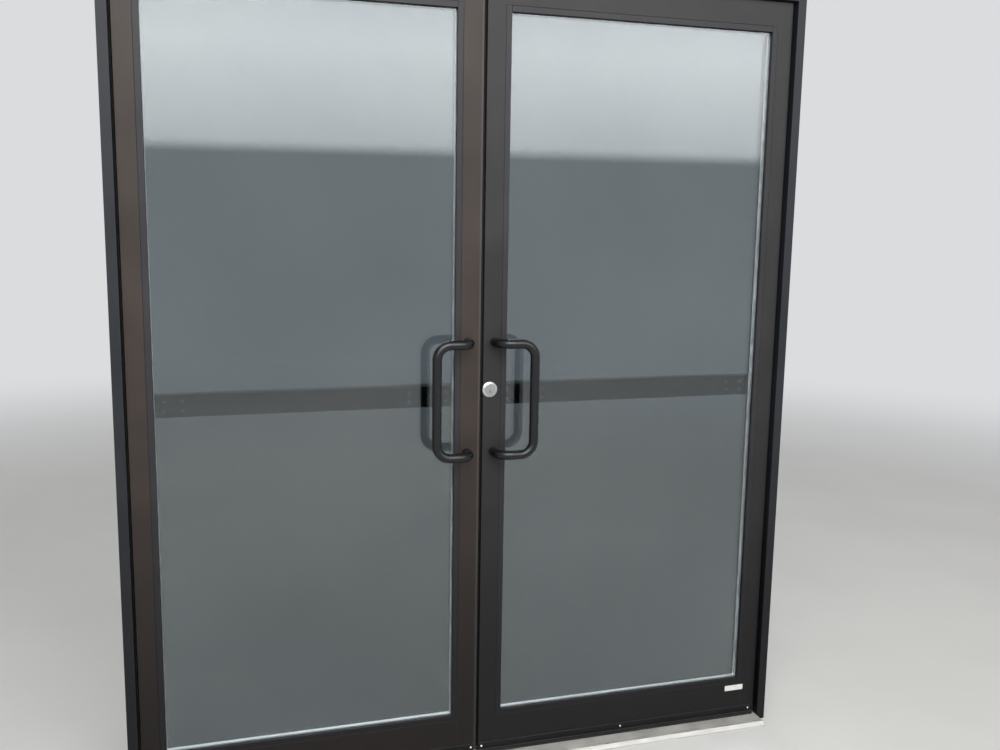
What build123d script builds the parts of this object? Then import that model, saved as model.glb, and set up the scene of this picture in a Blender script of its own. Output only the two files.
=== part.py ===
from build123d import *
from math import sqrt
import os

# A pair of outward-opening glazed aluminium doors in their own frame, seen from outside.
# X runs along the wall to the right, Y into the building, Z up from the floor.
# The origin is on the floor, midway between the jambs, in the frame's front plane.
# Lengths are millimetres.

# Frame
opening_width = 1828.8
frame_face = 25.4
frame_depth = 114.3
frame_wall = 3.0
anchor_radius = 4.5
anchor_inset = 22.0
jamb_anchor_end = 300.0
head_anchor_end = 414.4
corner_block_length = 34.0

# Threshold
threshold_height = 12.7
threshold_depth = 152.4
threshold_projection = 45.0
threshold_skin = 3.5
threshold_bevel = 8.0
threshold_nose = 3.0
threshold_end_gap = 0.5
threshold_rib = 26.0
flute_count = 7
flute_pitch = 6.0
flute_width = 1.6
flute_depth = 0.8
sill_screw_inset = 14.0
sill_screw_radius = 2.6
sill_screw_head_radius = 5.2
sill_screw_end = 130.4

# Leaf
leaf_height = 2133.6
leaf_thickness = 44.5
leaf_setback = 16.0
leaf_wall = 3.2
edge_radius = 0.8
stile_face = 50.0
top_rail_face = 67.0
bottom_rail_face = 99.0
floor_gap = 12.0
head_gap = 3.2
heel_gap = 3.0
meeting_gap = 14.0
pivot_backset = 70.0

# Glazing
glass_setback = 10.0
pane_thickness = 6.0
glass_edge_gap = 4.5
stop_face = 16.0
stop_wall = 1.6
stop_ease = 0.8
stop_joint = 0.2
gasket_thickness = 2.0
gasket_width = 6.0
edge_seal_width = 5.0
spacer_face = 8.0
setting_block_length = 100.0
setting_block_inset = 130.0

# Pivots
pivot_pin_radius = 6.35
pivot_fit = 0.07
pivot_pin_reach = 26.0
pivot_block_length = 60.0
pivot_block_width = 40.0
bush_depth = 30.0
bush_reach = 40.0
pivot_plate_radius = 19.0
pivot_plate_thickness = 3.0
pivot_collar_radius = 11.0
pivot_clearance = 1.0

# Tie rods inside the rails
tie_rod_radius = 4.75
tie_rod_clearance = 0.5
tie_rod_end = 14.0
tie_nut_across = 16.0
tie_nut_length = 8.0
top_tie_inset = 49.0
bottom_tie_inset = 60.0

# Height of the pulls' and the exit bars' middles
hardware_level = 1059.5

# Offset pull
pull_centres = 305.0
pull_radius = 12.7
pull_inset = 31.0
pull_projection = 57.15
pull_offset = 98.0
pull_bend = 38.0
pull_thread_depth = 20.0
pull_bolt_radius = 4.0
pull_bolt_clearance = 0.3
pull_bolt_head_radius = 7.0
pull_bolt_head = 4.0

# Exit device on the inside face
bar_height = 57.0
bar_wall = 2.5
rail_wall = 3.0
rail_reach = 38.0
case_inset = 5.0
case_length = 193.0
case_reach = 52.0
case_corner = 4.0
bracket_inset = 6.4
bracket_length = 145.0
bracket_corner = 6.0
pad_fit = 0.3
pad_proud = 4.0
pad_crown = 3.0
pad_back_gap = 2.5

# Bolts worked by the exit device
bolt_radius = 6.35
bolt_fit = 0.08
bolt_length = 60.0
bolt_tip = 2.0
bolt_inset = 12.5
bolt_back = 11.5
bolt_rest_gap = 0.5
rod_radius = 4.0
rod_foot_height = 5.0
rod_foot_width = 8.0
rod_foot_gap = 1.0
rod_foot_reach = 8.0
rod_slot_gap = 1.0
guide_depth = 25.0
strike_length = 34.0
strike_width = 24.0
strike_thickness = 1.6
strike_hole_radius = 7.6
strike_corner = 4.0

# Screws
bar_screw_head_radius = 4.0
bar_screw_head = 2.4
bar_screw_radius = 2.0
bar_screw_length = 12.0
bar_screw_rise = 24.0
case_screw_end = 14.5
case_screw_pitch = 102.0
bracket_screw_end = 16.7
bracket_screw_pitch = 44.5
sweep_screw_head_radius = 3.2
sweep_screw_head = 1.8
sweep_screw_radius = 1.8
sweep_screw_fit = 0.1

# Sweep on the outside of the bottom rail
sweep_height = 20.5
sweep_plate = 2.0
sweep_ease = 1.0
sweep_bead_radius = 3.5
sweep_inset = 1.0
sweep_heel_inset = 8.5
sweep_screw_inset = 9.0
sweep_screw_heel_inset = 23.5
fin_thickness = 1.5
fin_fit = 0.05
fin_bite = 4.0
fin_floor_gap = 0.3

# Weather strips
brush_slot_width = 7.0
brush_slot_depth = 2.0
brush_lip = 1.0
brush_width = 3.0
brush_fit = 0.2
brush_heel_gap = 0.3
brush_leaf_gap = 0.8
astragal_thickness = 5.0
astragal_inset = 1.0
head_stop_height = 16.0
head_stop_depth = 12.0
head_stop_wall = 2.0
head_stop_gap = 3.5
bulb_radius = 1.4
bulb_gap = 0.3
bulb_base = 1.0
bulb_base_height = 11.0

# Lock cylinder in the right leaf
cylinder_rise = 21.5
cylinder_backset = 19.0
cylinder_radius = 14.7
cylinder_fit = 0.05
cylinder_hole_gap = 0.3
cylinder_proud = 5.0
cylinder_depth = 24.0
collar_radius = 20.8
collar_top_radius = 16.6
collar_rim = 1.6
plug_radius = 6.4
plug_fit = 0.07
plug_drop = 5.0
keyway_width = 1.8
keyway_height = 8.5
keyway_depth = 18.0
cam_radius = 5.0
cam_reach = 12.0
cam_thickness = 3.0
cam_gap = 0.5

# Places that follow from the sizes above
half_opening = opening_width / 2
leaf_bottom = threshold_height + floor_gap
leaf_top = leaf_bottom + leaf_height
head_level = leaf_top + head_gap
leaf_front = leaf_setback
leaf_back = leaf_front + leaf_thickness
leaf_middle = leaf_front + leaf_thickness / 2
pivot_x = half_opening - pivot_backset
heel_radius = pivot_backset - heel_gap
heel_x = pivot_x + heel_radius
heel_half_width = sqrt(heel_radius**2 - (leaf_thickness / 2) ** 2)
heel_corner_x = pivot_x + heel_half_width
meeting_x = meeting_gap / 2
meeting_joint_x = meeting_x + stile_face
hinge_joint_x = heel_x - stile_face
rail_length = hinge_joint_x - meeting_joint_x
pocket_bottom = leaf_bottom + bottom_rail_face
pocket_top = leaf_top - top_rail_face
pocket_height = pocket_top - pocket_bottom
pocket_middle_x = (meeting_joint_x + hinge_joint_x) / 2
pocket_middle_z = (pocket_bottom + pocket_top) / 2
stop_depth = glass_setback - gasket_thickness
meeting_middle_x = meeting_x + stile_face / 2
bolt_x = meeting_x + bolt_inset
bolt_y = leaf_back - bolt_back
top_tie_z = leaf_top - top_tie_inset
bottom_tie_z = leaf_bottom + bottom_tie_inset
pull_x = meeting_x + pull_inset
pull_top = hardware_level + pull_centres / 2
pull_bottom = hardware_level - pull_centres / 2
case_start = meeting_x + case_inset
case_end = case_start + case_length
bracket_end = heel_x - bracket_inset
bracket_start = bracket_end - bracket_length
cylinder_x = meeting_x + cylinder_backset
cylinder_z = hardware_level + cylinder_rise
plug_z = cylinder_z - plug_drop
sweep_end_x = heel_x - sweep_heel_inset
sweep_screw_z = leaf_bottom + sweep_height / 2
sweep_screw_xs = (
    meeting_x + sweep_screw_inset,
    (meeting_x + sweep_screw_inset + heel_x - sweep_screw_heel_inset) / 2,
    heel_x - sweep_screw_heel_inset,
)
bar_screw_zs = (hardware_level - bar_screw_rise / 2, hardware_level + bar_screw_rise / 2)
anchor_ys = (anchor_inset, frame_depth - anchor_inset)

os.makedirs("parts", exist_ok=True)


def plane_facing_right(x):
    # Sketch axes are Y and Z; extruding goes to the right.
    return Plane.YZ.offset(x)


def plane_facing_out(y):
    # Sketch axes are X and Z; extruding goes towards the outside.
    return Plane.XZ.offset(-y)


def pierce(plane, points, radius, depth):
    # Round holes of one size, cut from a plane along its normal.
    with BuildSketch(plane) as rounds:
        with Locations(*points):
            Circle(radius)
    extrude(rounds.sketch, amount=depth, mode=Mode.SUBTRACT)


def raise_rounds(plane, points, radius, depth):
    # Round bars of one size, built up from a plane along its normal.
    with BuildSketch(plane) as rounds:
        with Locations(*points):
            Circle(radius)
    extrude(rounds.sketch, amount=depth)


def block(x_span, y_span, z_span, mode=Mode.ADD):
    # A plain block between two corners.
    with Locations(((x_span[0] + x_span[1]) / 2, (y_span[0] + y_span[1]) / 2, (z_span[0] + z_span[1]) / 2)):
        Box(x_span[1] - x_span[0], y_span[1] - y_span[0], z_span[1] - z_span[0], mode=mode)


def save(piece, name):
    piece.label = name
    export_step(piece, "parts/" + name + ".step")


def save_pair(piece, name):
    # The left leaf is the right leaf's mirror image.
    twin = mirror(piece, about=Plane.YZ)
    save(piece, "right_" + name)
    save(twin, "left_" + name)


# Frame: two jambs, a head between them and the shear blocks that join them
def brush_slot_points(mouth, inward, along):
    # A T-shaped slot, listed from its mouth; inward points into the metal.
    half_mouth = brush_width / 2 + brush_fit
    half_slot = brush_slot_width / 2
    floor = brush_lip + brush_slot_depth
    outline = (
        (0, -half_mouth), (brush_lip, -half_mouth), (brush_lip, -half_slot), (floor, -half_slot),
        (floor, half_slot), (brush_lip, half_slot), (brush_lip, half_mouth), (0, half_mouth),
    )
    return [(mouth + inward * depth, along + side) for depth, side in outline]


def brush_points(mouth, inward, along, reach):
    # The backing in its slot with the bristles standing out of the mouth by reach.
    half_backing = brush_slot_width / 2 - brush_fit
    top = brush_lip + brush_fit
    floor = brush_lip + brush_slot_depth
    outline = (
        (-reach, -brush_width / 2), (top, -brush_width / 2), (top, -half_backing), (floor, -half_backing),
        (floor, half_backing), (top, half_backing), (top, brush_width / 2), (-reach, brush_width / 2),
    )
    return [(mouth + inward * depth, along + side) for depth, side in outline]


jamb_height = head_level + frame_face
with BuildPart() as jamb:
    with BuildSketch():
        with Locations((half_opening + frame_face / 2, frame_depth / 2)):
            RectangleRounded(frame_face, frame_depth, edge_radius)
            Rectangle(frame_face - 2 * frame_wall, frame_depth - 2 * frame_wall, mode=Mode.SUBTRACT)
        with Locations((half_opening + frame_wall + brush_slot_depth / 2, leaf_middle)):
            Rectangle(brush_slot_depth + frame_wall, brush_slot_width + 2 * frame_wall)
        with BuildLine():
            Polyline(*brush_slot_points(half_opening, 1, leaf_middle), close=True)
        make_face(mode=Mode.SUBTRACT)
    extrude(amount=jamb_height)
    jamb_holes = [(y, z) for y in anchor_ys for z in (jamb_anchor_end, head_level - jamb_anchor_end)]
    pierce(plane_facing_right(half_opening - 1), jamb_holes, anchor_radius, frame_face + 2)
save(jamb.part, "jamb_right")
save(mirror(jamb.part, about=Plane.YZ), "jamb_left")

with BuildPart() as head:
    with BuildSketch(plane_facing_right(-half_opening)):
        with Locations((frame_depth / 2, head_level + frame_face / 2)):
            RectangleRounded(frame_depth, frame_face, edge_radius)
            Rectangle(frame_depth - 2 * frame_wall, frame_face - 2 * frame_wall, mode=Mode.SUBTRACT)
    extrude(amount=opening_width)
    underside = Plane.XY.offset(head_level - 1)
    pierce(underside, [(-bolt_x, bolt_y), (bolt_x, bolt_y)], strike_hole_radius, frame_wall + 2)
    pivot_places = [(-pivot_x, leaf_middle), (pivot_x, leaf_middle)]
    pierce(underside, pivot_places, pivot_pin_radius + pivot_clearance, frame_wall + 2)
    head_anchor_x = half_opening - head_anchor_end
    head_holes = [(x, y) for x in (-head_anchor_x, head_anchor_x) for y in anchor_ys]
    pierce(underside, head_holes, anchor_radius, frame_face + 2)
save(head.part, "head")

head_cavity_y = (frame_wall, frame_depth - frame_wall)
head_cavity_z = (head_level + frame_wall, head_level + frame_face - frame_wall)
with BuildPart() as corner_blocks:
    block((half_opening - corner_block_length, half_opening), head_cavity_y, head_cavity_z)
    with BuildSketch(plane_facing_right(half_opening - corner_block_length)):
        with Locations((frame_depth / 2, head_level + frame_face / 2)):
            Rectangle(frame_depth / 2, frame_face - 4 * frame_wall)
    extrude(amount=corner_block_length, mode=Mode.SUBTRACT)
    mirror(about=Plane.YZ)
save(corner_blocks.part, "corner_blocks")

# Threshold: a fluted saddle on ribs, between the jambs and proud of the frame's front
threshold_front_y = -threshold_projection
threshold_back_y = threshold_front_y + threshold_depth
threshold_length = opening_width - 2 * threshold_end_gap
front_screw_y = threshold_front_y + sill_screw_inset
back_screw_y = threshold_back_y - sill_screw_inset
sill_screw_pitch = (half_opening - sill_screw_end) / 2
rib_edges = (
    (threshold_front_y + threshold_rib, -threshold_rib / 4),
    (threshold_rib / 4, leaf_middle - pivot_collar_radius),
    (bolt_y + strike_hole_radius + threshold_skin, threshold_back_y - threshold_rib),
)
with BuildPart() as threshold:
    with BuildSketch(plane_facing_right(-threshold_length / 2)):
        with BuildLine():
            Polyline(
                (threshold_front_y, 0),
                (threshold_front_y, threshold_nose),
                (threshold_front_y + threshold_bevel, threshold_height),
                (threshold_back_y - threshold_bevel, threshold_height),
                (threshold_back_y, threshold_nose),
                (threshold_back_y, 0),
                close=True,
            )
        make_face()
        for start, end in rib_edges:
            with Locations(((start + end) / 2, 0)):
                Rectangle(end - start, 2 * (threshold_height - threshold_skin), mode=Mode.SUBTRACT)
        for flute in range(flute_count):
            flute_y = front_screw_y + sill_screw_head_radius + (flute + 0.5) * flute_pitch
            with Locations((flute_y, threshold_height)):
                Rectangle(flute_width, 2 * flute_depth, mode=Mode.SUBTRACT)
    extrude(amount=threshold_length)
    with Locations(Plane.XY.offset(threshold_height)):
        with Locations(*[(k * sill_screw_pitch, y) for k in range(-2, 3) for y in (front_screw_y, back_screw_y)]):
            CounterSinkHole(sill_screw_radius, sill_screw_head_radius)
    pierce(Plane.XY, [(-bolt_x, bolt_y), (bolt_x, bolt_y)], strike_hole_radius, threshold_height)
save(threshold.part, "threshold")

with BuildPart() as strike_plates:
    for level in (head_level - strike_thickness, threshold_height):
        block(
            (bolt_x - strike_length / 2, bolt_x + strike_length / 2),
            (bolt_y - strike_width / 2, bolt_y + strike_width / 2),
            (level, level + strike_thickness),
        )
        pierce(Plane.XY.offset(level), [(bolt_x, bolt_y)], strike_hole_radius, strike_thickness)
    chamfer(strike_plates.edges().filter_by(Axis.Z).filter_by(GeomType.LINE), strike_corner)
    mirror(about=Plane.YZ)
save(strike_plates.part, "strike_plates")

# Head stop and its bulb gasket, cut short where the turned heels swing inwards
head_stop_end = pivot_x - heel_half_width - heel_gap
head_stop_y = leaf_back + head_stop_gap
with BuildPart() as head_stop:
    with BuildSketch(plane_facing_right(-head_stop_end)):
        with Locations((head_stop_y + head_stop_depth / 2, head_level - head_stop_height / 2)):
            Rectangle(head_stop_depth, head_stop_height)
        with Locations((head_stop_y + head_stop_depth / 2, head_level)):
            Rectangle(
                head_stop_depth - 2 * head_stop_wall,
                2 * (head_stop_height - head_stop_wall),
                mode=Mode.SUBTRACT,
            )
    extrude(amount=2 * head_stop_end)
save(head_stop.part, "head_stop")

with BuildPart() as head_gasket:
    with BuildSketch(plane_facing_right(-head_stop_end)):
        with Locations((head_stop_y - bulb_base / 2, head_level - head_stop_height / 2)):
            Rectangle(bulb_base, bulb_base_height)
        with Locations((leaf_back + bulb_gap + bulb_radius, head_level - head_stop_height / 2)):
            Circle(bulb_radius)
    extrude(amount=2 * head_stop_end)
save(head_gasket.part, "head_gasket")

with BuildPart() as jamb_brushes:
    with BuildSketch(Plane.XY.offset(threshold_height + brush_fit)):
        with BuildLine():
            jamb_reach = half_opening - heel_x - brush_heel_gap
            Polyline(*brush_points(half_opening, 1, leaf_middle, jamb_reach), close=True)
        make_face()
    extrude(amount=head_level - threshold_height - 2 * brush_fit)
    mirror(about=Plane.YZ)
save(jamb_brushes.part, "jamb_brushes")

# Pivots: pins that stay with the frame and bushes that stay with the leaves
with BuildPart() as top_pivots:
    block(
        (pivot_x - pivot_block_length / 2, pivot_x + pivot_block_length / 2),
        (leaf_middle - pivot_block_width / 2, leaf_middle + pivot_block_width / 2),
        head_cavity_z,
    )
    pin_foot = leaf_top - leaf_wall - pivot_pin_reach
    raise_rounds(Plane.XY.offset(pin_foot), [(pivot_x, leaf_middle)], pivot_pin_radius, head_cavity_z[0] - pin_foot)
    chamfer(top_pivots.faces().sort_by(Axis.Z)[0].edges(), pivot_clearance)
    mirror(about=Plane.YZ)
save(top_pivots.part, "top_pivots")

with BuildPart() as bottom_pivots:
    seat = leaf_bottom + leaf_wall
    raise_rounds(Plane.XY.offset(threshold_height), [(pivot_x, leaf_middle)], pivot_plate_radius, pivot_plate_thickness)
    raise_rounds(Plane.XY.offset(threshold_height), [(pivot_x, leaf_middle)], pivot_collar_radius, seat - threshold_height)
    raise_rounds(Plane.XY.offset(seat), [(pivot_x, leaf_middle)], pivot_pin_radius, pivot_pin_reach)
    chamfer(bottom_pivots.faces().sort_by(Axis.Z)[-1].edges(), pivot_clearance)
    mirror(about=Plane.YZ)
save(bottom_pivots.part, "bottom_pivots")

leaf_cavity_y = (leaf_front + leaf_wall, leaf_back - leaf_wall)
with BuildPart() as pivot_bushes:
    for low in (leaf_top - leaf_wall - bush_depth, leaf_bottom + leaf_wall):
        block((pivot_x - bush_reach, hinge_joint_x), leaf_cavity_y, (low, low + bush_depth))
        pierce(Plane.XY.offset(low), [(pivot_x, leaf_middle)], pivot_pin_radius + pivot_fit, bush_depth)
save_pair(pivot_bushes.part, "pivot_bushes")

# Stiles and rails
tie_holes = [(leaf_middle, top_tie_z), (leaf_middle, bottom_tie_z)]
with BuildPart() as hinge_stile:
    with BuildSketch(Plane.XY.offset(leaf_bottom)) as heel_section:
        with BuildLine():
            heel = ThreePointArc(
                (heel_corner_x, leaf_front), (heel_x, leaf_middle), (heel_corner_x, leaf_back)
            )
            Polyline(heel @ 1, (hinge_joint_x, leaf_back), (hinge_joint_x, leaf_front), heel @ 0)
        make_face()
        fillet(heel_section.vertices(), edge_radius)
        cavity_start = hinge_joint_x + leaf_wall
        cavity_end = heel_corner_x - leaf_wall
        with Locations(((cavity_start + cavity_end) / 2, leaf_middle)):
            Rectangle(cavity_end - cavity_start, leaf_thickness - 2 * leaf_wall, mode=Mode.SUBTRACT)
    extrude(amount=leaf_height)
    pierce(plane_facing_right(hinge_joint_x), tie_holes, tie_rod_radius + tie_rod_clearance, leaf_wall)
    pierce(
        plane_facing_out(leaf_front + leaf_wall),
        [(sweep_screw_xs[2], sweep_screw_z)],
        sweep_screw_radius + sweep_screw_fit,
        leaf_wall,
    )
save_pair(hinge_stile.part, "hinge_stile")

slot_half_height = bar_height / 2 - bar_wall
slot_half_width = rod_foot_width / 2 + rod_slot_gap
with BuildPart() as meeting_stile:
    with BuildSketch(Plane.XY.offset(leaf_bottom)):
        with Locations((meeting_middle_x, leaf_middle)):
            RectangleRounded(stile_face, leaf_thickness, edge_radius)
            Rectangle(stile_face - 2 * leaf_wall, leaf_thickness - 2 * leaf_wall, mode=Mode.SUBTRACT)
    extrude(amount=leaf_height)
    pierce(
        plane_facing_right(meeting_joint_x - leaf_wall), tie_holes, tie_rod_radius + tie_rod_clearance, leaf_wall
    )
    pull_holes = [(pull_x, pull_bottom), (pull_x, pull_top)]
    pierce(plane_facing_out(leaf_back), pull_holes, pull_bolt_radius + pull_bolt_clearance, leaf_thickness)
    block(
        (bolt_x - slot_half_width, bolt_x + slot_half_width),
        (leaf_back - leaf_wall, leaf_back),
        (hardware_level - slot_half_height, hardware_level + slot_half_height),
        mode=Mode.SUBTRACT,
    )
    pierce(
        plane_facing_out(leaf_front + leaf_wall),
        [(sweep_screw_xs[0], sweep_screw_z)],
        sweep_screw_radius + sweep_screw_fit,
        leaf_wall,
    )
left_meeting_stile = mirror(meeting_stile.part, about=Plane.YZ)
save(left_meeting_stile, "left_meeting_stile")

with BuildPart() as keyed_stile:
    add(meeting_stile.part)
    pierce(
        plane_facing_out(leaf_front + leaf_wall),
        [(cylinder_x, cylinder_z)],
        cylinder_radius + cylinder_hole_gap,
        leaf_wall,
    )
save(keyed_stile.part, "right_meeting_stile")

with BuildPart() as top_rail:
    with BuildSketch(plane_facing_right(meeting_joint_x)):
        with Locations((leaf_middle, leaf_top - top_rail_face / 2)):
            RectangleRounded(leaf_thickness, top_rail_face, edge_radius)
            Rectangle(leaf_thickness - 2 * leaf_wall, top_rail_face - 2 * leaf_wall, mode=Mode.SUBTRACT)
    extrude(amount=rail_length)
    pierce(
        Plane.XY.offset(leaf_top - leaf_wall),
        [(pivot_x, leaf_middle)],
        pivot_pin_radius + pivot_clearance,
        leaf_wall,
    )
save_pair(top_rail.part, "top_rail")

with BuildPart() as bottom_rail:
    with BuildSketch(plane_facing_right(meeting_joint_x)):
        with Locations((leaf_middle, leaf_bottom + bottom_rail_face / 2)):
            RectangleRounded(leaf_thickness, bottom_rail_face, edge_radius)
            Rectangle(leaf_thickness - 2 * leaf_wall, bottom_rail_face - 2 * leaf_wall, mode=Mode.SUBTRACT)
    extrude(amount=rail_length)
    pierce(
        Plane.XY.offset(leaf_bottom), [(pivot_x, leaf_middle)], pivot_collar_radius + pivot_clearance, leaf_wall
    )
    pierce(
        plane_facing_out(leaf_front + leaf_wall),
        [(sweep_screw_xs[1], sweep_screw_z)],
        sweep_screw_radius + sweep_screw_fit,
        leaf_wall,
    )
save_pair(bottom_rail.part, "bottom_rail")

with BuildPart() as tie_rods:
    for tie_z in (top_tie_z, bottom_tie_z):
        rod_start = meeting_joint_x - tie_rod_end
        rod_end = hinge_joint_x + tie_rod_end
        raise_rounds(plane_facing_right(rod_start), [(leaf_middle, tie_z)], tie_rod_radius, rod_end - rod_start)
        for nut_x in (meeting_joint_x - leaf_wall - tie_nut_length, hinge_joint_x + leaf_wall):
            with BuildSketch(plane_facing_right(nut_x)):
                with Locations((leaf_middle, tie_z)):
                    RegularPolygon(tie_nut_across / 2, 6, major_radius=False)
            extrude(amount=tie_nut_length)
save_pair(tie_rods.part, "tie_rods")


# Glazing: snap-in stops round a sealed unit of two panes
def stop_outline(edge, inward, face, deep):
    # A channel with a lip for the gasket; edge is its seat, inward points to the glass opening.
    lip = stop_face - gasket_width - stop_wall
    outline = (
        (0, stop_ease), (stop_ease, 0), (stop_face - stop_ease, 0), (stop_face, stop_ease),
        (stop_face, stop_depth), (lip, stop_depth),
        (lip, stop_depth - stop_wall), (stop_face - stop_wall, stop_depth - stop_wall),
        (stop_face - stop_wall, stop_wall), (stop_wall, stop_wall), (stop_wall, stop_depth), (0, stop_depth),
    )
    return [(edge + inward * across, face + deep * depth) for across, depth in outline]


def pocket_ring(inset, width, y_span):
    # A flat ring that runs round the glass, inset from the stiles and rails.
    with BuildSketch(plane_facing_out(y_span[1])) as ring:
        with Locations((pocket_middle_x, pocket_middle_z)):
            Rectangle(rail_length - 2 * inset, pocket_height - 2 * inset)
            Rectangle(
                rail_length - 2 * (inset + width), pocket_height - 2 * (inset + width), mode=Mode.SUBTRACT
            )
    extrude(ring.sketch, amount=y_span[1] - y_span[0])


with BuildPart() as glazing_stops:
    for face, deep in ((leaf_front, 1), (leaf_back, -1)):
        for edge, inward in ((meeting_joint_x, 1), (hinge_joint_x, -1)):
            with BuildSketch(Plane.XY.offset(pocket_bottom)):
                with BuildLine():
                    Polyline(*stop_outline(edge, inward, face, deep), close=True)
                make_face()
            extrude(amount=pocket_height)
        for edge, inward in ((pocket_bottom, 1), (pocket_top, -1)):
            with BuildSketch(plane_facing_right(meeting_joint_x + stop_face + stop_joint)):
                with BuildLine():
                    Polyline(*[(y, z) for z, y in stop_outline(edge, inward, face, deep)], close=True)
                make_face()
            extrude(amount=rail_length - 2 * (stop_face + stop_joint))
save_pair(glazing_stops.part, "glazing_stops")

outer_pane_y = (leaf_front + glass_setback, leaf_front + glass_setback + pane_thickness)
inner_pane_y = (leaf_back - glass_setback - pane_thickness, leaf_back - glass_setback)
pane_x = (meeting_joint_x + glass_edge_gap, hinge_joint_x - glass_edge_gap)
pane_z = (pocket_bottom + glass_edge_gap, pocket_top - glass_edge_gap)
with BuildPart() as outer_pane:
    block(pane_x, outer_pane_y, pane_z)
save_pair(outer_pane.part, "outer_pane")

with BuildPart() as inner_pane:
    block(pane_x, inner_pane_y, pane_z)
save_pair(inner_pane.part, "inner_pane")

spacer_y = (outer_pane_y[1], inner_pane_y[0])
spacer_inset = glass_edge_gap + edge_seal_width
with BuildPart() as spacer:
    pocket_ring(spacer_inset, spacer_face, spacer_y)
save_pair(spacer.part, "spacer")

with BuildPart() as glazing_gaskets:
    pocket_ring(stop_face - gasket_width, gasket_width, (leaf_front + stop_depth, outer_pane_y[0]))
    pocket_ring(stop_face - gasket_width, gasket_width, (inner_pane_y[1], leaf_back - stop_depth))
    pocket_ring(glass_edge_gap + stop_joint, edge_seal_width - stop_joint, spacer_y)
    for block_x in (meeting_joint_x + setting_block_inset, hinge_joint_x - setting_block_inset):
        block(
            (block_x - setting_block_length / 2, block_x + setting_block_length / 2),
            (outer_pane_y[0], inner_pane_y[1]),
            (pocket_bottom, pane_z[0]),
        )
save_pair(glazing_gaskets.part, "glazing_gaskets")

# Offset pull: one round bar that comes out of the stile, turns sideways and runs down the grip
grip_x = pull_x + pull_offset
grip_y = leaf_front - pull_projection
with BuildPart() as pull_handle:
    with BuildLine() as pull_path:
        FilletPolyline(
            (pull_x, leaf_front, pull_top),
            (pull_x, grip_y, pull_top),
            (grip_x, grip_y, pull_top),
            (grip_x, grip_y, pull_bottom),
            (pull_x, grip_y, pull_bottom),
            (pull_x, leaf_front, pull_bottom),
            radius=pull_bend,
        )
    with BuildSketch(Plane(pull_path.line @ 0, z_dir=pull_path.line % 0)):
        Circle(pull_radius)
    sweep(path=pull_path.line)
    pierce(plane_facing_out(leaf_front), pull_holes, pull_bolt_radius, pull_thread_depth)
save_pair(pull_handle.part, "pull_handle")

# Exit device: a channel with a sliding pad between a lock-side case and a hinge-side bracket
bar_z = (hardware_level - bar_height / 2, hardware_level + bar_height / 2)
case_screw_x = case_end - case_screw_end
bracket_screw_x = bracket_start + bracket_screw_end
case_screws = [(x, z) for x in (case_screw_x - case_screw_pitch, case_screw_x) for z in bar_screw_zs]
bracket_screws = [(x, z) for x in (bracket_screw_x, bracket_screw_x + bracket_screw_pitch) for z in bar_screw_zs]

with BuildPart() as exit_case:
    block((case_start, case_end), (leaf_back, leaf_back + case_reach), bar_z)
    case_front = exit_case.faces().sort_by(Axis.Y)[-1]
    fillet(case_front.edges(), case_corner)
    block(
        (case_start + bar_wall, case_end - bar_wall),
        (leaf_back + bar_wall, leaf_back + case_reach - bar_wall),
        (bar_z[0] + bar_wall, bar_z[1] - bar_wall),
        mode=Mode.SUBTRACT,
    )
    block(
        (bolt_x - slot_half_width, bolt_x + slot_half_width),
        (leaf_back, leaf_back + bar_wall),
        (hardware_level - slot_half_height, hardware_level + slot_half_height),
        mode=Mode.SUBTRACT,
    )
    pierce(plane_facing_out(leaf_back + bar_wall), case_screws, bar_screw_radius, bar_wall)
save_pair(exit_case.part, "exit_case")

with BuildPart() as exit_rail:
    with BuildSketch(plane_facing_right(case_end)):
        with Locations((leaf_back + rail_reach / 2, hardware_level)):
            Rectangle(rail_reach, bar_height)
        with Locations((leaf_back + rail_wall + rail_reach / 2, hardware_level)):
            Rectangle(rail_reach, bar_height - 2 * rail_wall, mode=Mode.SUBTRACT)
    extrude(amount=bracket_start - case_end)
save_pair(exit_rail.part, "exit_rail")

pad_back = leaf_back + rail_wall + pad_back_gap
pad_front = leaf_back + rail_reach + pad_proud
pad_half_height = bar_height / 2 - rail_wall - pad_fit
with BuildPart() as exit_pad:
    with BuildSketch(plane_facing_right(case_end + pad_fit)):
        with BuildLine():
            crown = ThreePointArc(
                (pad_front, hardware_level - pad_half_height),
                (pad_front + pad_crown, hardware_level),
                (pad_front, hardware_level + pad_half_height),
            )
            Polyline(
                crown @ 1,
                (pad_back, hardware_level + pad_half_height),
                (pad_back, hardware_level - pad_half_height),
                crown @ 0,
            )
        make_face()
    extrude(amount=bracket_start - case_end - 2 * pad_fit)
    block(
        (case_end + pad_fit + bar_wall, bracket_start - pad_fit - bar_wall),
        (pad_back, pad_front - bar_wall),
        (hardware_level - pad_half_height + bar_wall, hardware_level + pad_half_height - bar_wall),
        mode=Mode.SUBTRACT,
    )
save_pair(exit_pad.part, "exit_pad")

with BuildPart() as exit_bracket:
    block((bracket_start, bracket_end), (leaf_back, leaf_back + rail_reach), bar_z)
    bracket_front = exit_bracket.faces().sort_by(Axis.Y)[-1]
    fillet(bracket_front.edges().sort_by(Axis.X)[1:], bracket_corner)
    pierce(plane_facing_out(leaf_back + bar_screw_length), bracket_screws, bar_screw_radius, bar_screw_length)
save_pair(exit_bracket.part, "exit_bracket")


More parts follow.
